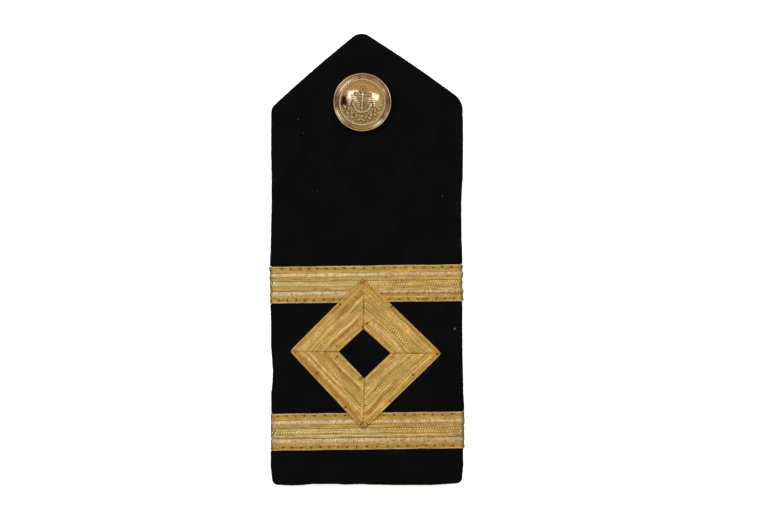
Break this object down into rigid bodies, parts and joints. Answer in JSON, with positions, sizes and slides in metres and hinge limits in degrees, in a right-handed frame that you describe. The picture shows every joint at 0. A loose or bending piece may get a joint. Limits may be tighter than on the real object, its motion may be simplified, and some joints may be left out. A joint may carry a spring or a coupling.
{
  "type": "shoulder board",
  "caption": "Stiff cloth-covered shoulder board with a pointed end, two gold lace stripes joined by a mitred lace diamond, and a domed gilt button with an anchor.",
  "frame": {"origin": "middle of the board's length and width, on the surface that it lies on", "axes": "+X across the board, to the right as its front is seen with the point up; +Y along the board, towards the point; +Z out of its front, up"},
  "size_m": [0.0645, 0.1502, 0.0112],
  "materials": {
    "cloth": "black wool cloth, dull, with a faint weave",
    "gold_lace": "woven gold lace with pale ribbed stripes and a dotted centre",
    "gilt": "polished gilt",
    "brass": "plain satin brass",
    "strap_cloth": "black cloth"
  },
  "bodies": {
    "root": {"board": "cloth", "upper_lace": "gold_lace", "lower_lace": "gold_lace", "diamond_top_left": "gold_lace", "diamond_top_right": "gold_lace", "diamond_bottom_left": "gold_lace", "diamond_bottom_right": "gold_lace", "button_shell": "gilt", "button_back": "brass", "button_screw": "brass", "strap": "strap_cloth"}
  },
  "joints": []
}
